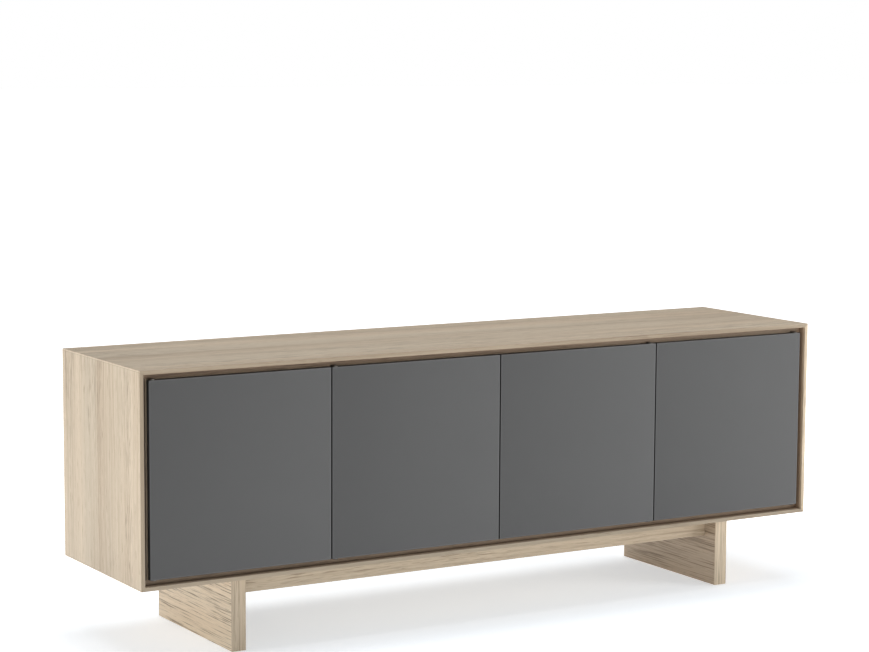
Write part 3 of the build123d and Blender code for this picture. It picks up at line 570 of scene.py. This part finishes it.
# ------------------------------------------------------------------ cross-head screws
def screw_mesh(head_r, shank_r, length, rise=0.0, csk=1.9):
    """One screw about +Z, head at the top: flush and countersunk, or pan-headed with a rise. mm."""
    bm = bmesh.new()
    if rise:
        prof = [(0, -length), (shank_r, -length), (shank_r, 0), (head_r, 0), (head_r, rise * 0.45), (head_r * 0.93, rise * 0.78),
                (head_r * 0.72, rise * 0.95), (head_r * 0.4, rise), (0, rise)]
    else:
        prof = [(0, -length), (shank_r, -length), (shank_r, -csk), (head_r - 0.12, -0.14), (head_r - 0.05, -0.04), (head_r - 0.2, 0), (0, 0)]
    n = 32
    rings = []
    for r, z in prof[1:-1]:
        rings.append([bm.verts.new(Vector((r * math.cos(2 * math.pi * i / n), r * math.sin(2 * math.pi * i / n), z)) * 1e-3) for i in range(n)])
    for a, b in zip(rings, rings[1:]):
        for i in range(n):
            bm.faces.new((a[i], a[(i + 1) % n], b[(i + 1) % n], b[i]))
    bm.faces.new(rings[0][::-1])
    bm.faces.new(rings[-1])
    o = obj_from("screw_master", bm, [])
    c = bmesh.new()
    top, deep, arm, wide = rise + 0.5, rise - head_r * 0.42, head_r * 0.58, head_r * 0.14
    for turn in (0, 90):
        q = Matrix.Rotation(math.radians(turn), 3, "Z")
        low = [q @ Vector(p) for p in ((-arm * 0.45, -wide * 0.7, deep), (arm * 0.45, -wide * 0.7, deep), (arm * 0.45, wide * 0.7, deep), (-arm * 0.45, wide * 0.7, deep))]
        high = [q @ Vector(p) for p in ((-arm * 1.15, -wide, top), (arm * 1.15, -wide, top), (arm * 1.15, wide, top), (-arm * 1.15, wide, top))]
        add_prism(c, low, high)
        cut(o, c)
        c = bmesh.new()
    c.free()
    me = o.data
    bpy.data.objects.remove(o)
    return me


def screws(name, at, master, mat, node, body="cabinet"):
    """at: list of (position mm, outward direction)."""
    bm = bmesh.new()
    for k, (p, d) in enumerate(at):
        turn = Matrix.Rotation(0.7 + 1.9 * k, 4, "Z")
        m = Matrix.Translation(Vector(p) * 1e-3) @ Vector(d).to_track_quat("Z", "Y").to_matrix().to_4x4() @ turn
        part = bmesh.new()
        part.from_mesh(master)
        bmesh.ops.transform(part, matrix=m, verts=part.verts)
        tmp = bpy.data.meshes.new("tmp")
        part.to_mesh(tmp)
        part.free()
        bm.from_mesh(tmp)
        bpy.data.meshes.remove(tmp)
    return dress(obj_from(name, bm, [mat]), body, [node], angle=28)


plate_at, bracket_at, latch_at, back_at = [], [], [], []
for i in range(4):
    px = pivot_xy(i)[0] + hinge(i)[1] * PLATE_SCREW_X
    for v in (38.0, 60.0):
        plate_at += [((px, yy(v), ZT - CASE_T), (0, 0, -1)), ((px, yy(v), ZB + CASE_T), (0, 0, 1))]
    left, right = door_x(i)
    cx = right - 45 if i < 2 else left + 45
    latch_at += [((cx + dx, yy(64.0), ZT - CASE_T - 3), (0, 0, -1)) for dx in (-14, 14)]
for s in (-1, 1):
    for v in (140.0, 340.0):
        for d in (-8, 8):
            bracket_at += [((s * (LEG_XI - 26), yy(v + d), ZB - 3), (0, 0, -1)), ((s * (LEG_XI - 3), yy(v + d), ZB - 26), (-s, 0, 0))]
for x0, x1 in [(-XO + REAR_T, SEAM[0] - 0.5), (SEAM[0] + 0.5, SEAM[1] - 0.5), (SEAM[1] + 0.5, XO - REAR_T)]:
    n = 5 if x1 - x0 > 700 else 3
    xs = [x0 + 5.0 + (x1 - x0 - 10.0) * k / (n - 1) for k in range(n)]
    for x in xs:
        x = min(max(x, 32.0 - XO), XO - 32.0)
        back_at += [((x, yy(BACK_Y + BACK_T), z), (0, 1, 0)) for z in (ZB + 19.0, ZT - 19.0)]
    back_at += [((x, yy(BACK_Y + BACK_T), (ZB + ZT) / 2), (0, 1, 0)) for x in (xs[0], xs[-1])]
screws("pivot_plate_cross_screws", plate_at, screw_mesh(3.4, 1.75, 16.0), ZINC_DARK, "pivot_plate_screws")
screws("bracket_cross_screws", bracket_at, screw_mesh(3.4, 1.75, 16.0), ZINC_DARK, "leg_bracket_screws")
screws("latch_cross_screws", latch_at, screw_mesh(3.0, 1.5, 13.0, rise=1.9), ZINC, "push_latch_screws")
screws("back_cross_screws", back_at, screw_mesh(3.0, 1.5, 18.0, csk=1.6), ZINC_DARK, "back_panel_screws")

# ------------------------------------------------------------------ finishes of the carried-over CAD nodes
FINISH = {"mitre_splines": BEECH, "partition_dowels": BEECH, "rail_dowels": BEECH, "partition_grommets": BLACK_PLASTIC,
          "cable_port_grommets": BLACK_PLASTIC, "shelf_pins": NICKEL, "pivot_plates": BRONZE, "pivot_washers": NYLON,
          "push_latch_bodies": LATCH, "leg_brackets": BRONZE, "leveller_inserts": BRASS, "base_screws": ZINC_DARK}
for n in nodes:
    if n.startswith("reveal_trim"):
        FINISH[n] = BROWN[n]
    elif n.endswith("_back_panel"):
        FINISH[n] = BACK
    elif n.endswith("_latch_plunger"):
        FINISH[n] = LATCH
    elif n.endswith("_pivot_pins") or n.endswith("_strike_plate"):
        FINISH[n] = STEEL
    elif n.startswith("levelling_foot"):
        FINISH[n] = FOOT
for n, mat in FINISH.items():
    if not nodes[n].hide_render:
        nodes[n].data.materials.clear()
        nodes[n].data.materials.append(mat)

# ------------------------------------------------------------------ floor, light, camera
# painted light and shade: the floor glows, weakly around the cabinet's footprint and fully half a metre out, so it
# reads white away from the cabinet and darker close to it; the glow near the cabinet and the base colour are tinted
# bluish to offset the warm light bounced off the oak
m = Tree("floor_white")
m.set(Base_Color=(0.950, 0.970, 0.990, 1), Roughness=0.9)
fx, fy, _ = m.split(m.coords())
ox = m.math("MAXIMUM", m.math("SUBTRACT", m.math("ABSOLUTE", fx), XO * 1e-3), 0.0)
oy = m.math("MAXIMUM", m.math("SUBTRACT", m.math("ABSOLUTE", fy), DEPTH * 5e-4), 0.0)
away = m.math("SQRT", m.math("ADD", m.math("MULTIPLY", ox, ox), m.math("MULTIPLY", oy, oy)))
m.put(m.bsdf.inputs["Emission Strength"], m.ramp(away, 0.0, 0.50, 0.40, 1.12))
m.put(m.bsdf.inputs["Emission Color"], m.mix(m.ramp(away, 0.0, 0.5), (0.92, 1.0, 1.09), (1.0, 1.0, 1.0)))
m.bsdf.inputs["Specular IOR Level"].default_value = 0.0
bm = bmesh.new()
bmesh.ops.create_grid(bm, x_segments=2, y_segments=2, size=60.0)
floor = obj_from("floor", bm, [m.mat])
floor.location.z = 0.0

world = bpy.data.worlds.new("studio")
scene.world = world
world.use_nodes = True
wt = world.node_tree
wt.nodes.clear()
wo = wt.nodes.new("ShaderNodeOutputWorld")
bg = wt.nodes.new("ShaderNodeBackground")
tc = wt.nodes.new("ShaderNodeTexCoord")
sp = wt.nodes.new("ShaderNodeSeparateXYZ")
mr = wt.nodes.new("ShaderNodeMapRange")
mr.interpolation_type = "SMOOTHSTEP"
for k, v in enumerate((0.13, 0.32, 1.0, 0.30)):
    mr.inputs[1 + k].default_value = v
wt.links.new(tc.outputs["Generated"], sp.inputs[0])
wt.links.new(sp.outputs[2], mr.inputs[0])
wt.links.new(mr.outputs[0], bg.inputs["Strength"])
bg.inputs["Color"].default_value = (1.0, 1.0, 1.0, 1)
wt.links.new(bg.outputs[0], wo.inputs[0])


def area(name, at, target, size, power, colour=(1, 1, 1)):
    l = bpy.data.lights.new(name, "AREA")
    l.shape, l.size, l.size_y, l.energy, l.color = "RECTANGLE", size[0], size[1], power, colour
    o = bpy.data.objects.new(name, l)
    scene.collection.objects.link(o)
    o.location = at
    o.rotation_mode = "QUATERNION"
    o.rotation_quaternion = (Vector(target) - Vector(at)).to_track_quat("-Z", "Y")
    return o


area("key_left", (-4.2, 0.5, 1.9), (-0.8, 0.1, 0.4), (2.2, 2.0), 29)
area("overhead", (0.2, 0.6, 3.4), (0.15, 0, 0.5), (4.2, 2.6), 58)
area("fill_right", (3.2, -2.4, 1.3), (0.7, -0.2, 0.45), (1.6, 1.4), 34)


cam = bpy.data.cameras.new("camera")
cam.sensor_width, cam.lens = 36.0, 99.4004
cam.clip_end = 200
co = bpy.data.objects.new("camera", cam)
scene.collection.objects.link(co)
yaw, pitch, roll = (math.radians(a) for a in (30.7854, 6.7952, 0.2969))
fwd = Vector((math.sin(yaw) * math.cos(pitch), math.cos(yaw) * math.cos(pitch), -math.sin(pitch)))
right = Vector((math.cos(yaw), -math.sin(yaw), 0))
up = right.cross(fwd)
r2 = math.cos(roll) * right + math.sin(roll) * up
u2 = -math.sin(roll) * right + math.cos(roll) * up
co.matrix_world = Matrix.Translation((-3.2485, -5.3565, 1.4816)) @ Matrix((r2, u2, -fwd)).transposed().to_4x4()
scene.camera = co
scene.view_settings.view_transform = "Standard"
